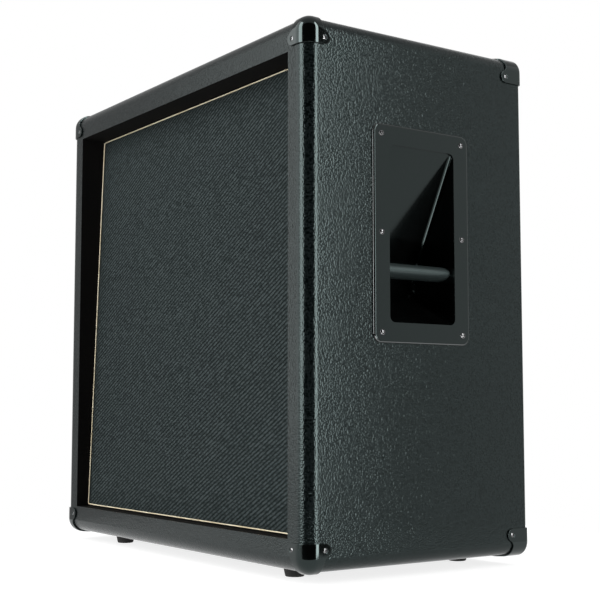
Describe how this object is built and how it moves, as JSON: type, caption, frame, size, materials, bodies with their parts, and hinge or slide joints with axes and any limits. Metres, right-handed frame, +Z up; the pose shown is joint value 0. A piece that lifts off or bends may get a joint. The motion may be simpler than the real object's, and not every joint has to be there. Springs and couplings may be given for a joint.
{
  "type": "guitar speaker cabinet",
  "caption": "Closed-back straight guitar speaker cabinet, covered box with a recessed leaning grille, sunken side handles, corner caps and feet.",
  "frame": {"origin": "on the floor, under the middle of the box", "axes": "+Z up, the grille faces -Y, +X to the right of someone who faces the grille"},
  "size_m": [0.6842, 0.3686, 0.6958],
  "materials": {
    "board": "matte",
    "lining": "matte black",
    "back_board": "matte",
    "covering": "pebble grained, satin",
    "grille_cloth": "woven, matte",
    "piping": "satin",
    "cap_plastic": "gloss",
    "handle_plastic": "satin",
    "foot_rubber": "matte",
    "screw_steel": "satin",
    "black_screw": "black plated",
    "driver_frame": "satin",
    "magnet_steel": "satin",
    "magnet": "matte",
    "gasket": "matte",
    "cone_paper": "matte",
    "dust_cap": "matte",
    "spider": "matte",
    "coil": "satin",
    "terminal": "matte",
    "lead": "satin",
    "dish_metal": "satin",
    "jack_plastic": "satin",
    "jack_nut": "polished"
  },
  "bodies": {
    "cabinet": {"back_panel": "back_board", "back_panel_screws": "screw_steel", "baffle": "board", "baffle_screws": "screw_steel", "bottom_panel": "board", "centre_post": "board", "corner_screws": "black_screw", "driver_bolts": "screw_steel", "driver_frames": "driver_frame", "driver_gaskets": "gasket", "foot_screws": "screw_steel", "front_corner_caps": "cap_plastic", "front_lining_bottom": "lining", "front_lining_left": "lining", "front_lining_right": "lining", "front_lining_top": "lining", "front_plates": "magnet_steel", "grille_cloth": "grille_cloth", "grille_frame": "board", "grille_piping": "piping", "handle_left": "handle_plastic", "handle_right": "handle_plastic", "handle_screws": "black_screw", "jack_dish": "dish_metal", "jack_dish_screws": "screw_steel", "jack_nut": "jack_nut", "jack_socket": "jack_plastic", "left_panel": "board", "magnets": "magnet", "rear_battens": "board", "rear_corner_caps": "cap_plastic", "right_panel": "board", "rubber_feet": "foot_rubber", "speaker_leads": "lead", "spider_1": "spider", "spider_2": "spider", "spider_3": "spider", "spider_4": "spider", "surround_1": "cone_paper", "surround_2": "cone_paper", "surround_3": "cone_paper", "surround_4": "cone_paper", "tee_nuts": "screw_steel", "terminals": "terminal", "top_panel": "board", "vinyl_covering": "covering", "yokes": "magnet_steel"},
    "driver_1_cone": {"cone_1": "cone_paper", "dust_cap_1": "dust_cap", "voice_coil_1": "coil"},
    "driver_2_cone": {"cone_2": "cone_paper", "dust_cap_2": "dust_cap", "voice_coil_2": "coil"},
    "driver_3_cone": {"cone_3": "cone_paper", "dust_cap_3": "dust_cap", "voice_coil_3": "coil"},
    "driver_4_cone": {"cone_4": "cone_paper", "dust_cap_4": "dust_cap", "voice_coil_4": "coil"}
  },
  "joints": [
    {"name": "driver_1_slide", "type": "slide", "parent": "cabinet", "child": "driver_1_cone", "axis": [0, -0.9995, 0.0325], "range_m": [-0.003, 0.003], "stiffness_N_per_m": 6000, "deforming": ["spider_1", "surround_1"]},
    {"name": "driver_2_slide", "type": "slide", "parent": "cabinet", "child": "driver_2_cone", "axis": [0, -0.9995, 0.0325], "range_m": [-0.003, 0.003], "stiffness_N_per_m": 6000, "deforming": ["spider_2", "surround_2"]},
    {"name": "driver_3_slide", "type": "slide", "parent": "cabinet", "child": "driver_3_cone", "axis": [0, -0.9995, 0.0325], "range_m": [-0.003, 0.003], "stiffness_N_per_m": 6000, "deforming": ["spider_3", "surround_3"]},
    {"name": "driver_4_slide", "type": "slide", "parent": "cabinet", "child": "driver_4_cone", "axis": [0, -0.9995, 0.0325], "range_m": [-0.003, 0.003], "stiffness_N_per_m": 6000, "deforming": ["spider_4", "surround_4"]}
  ]
}
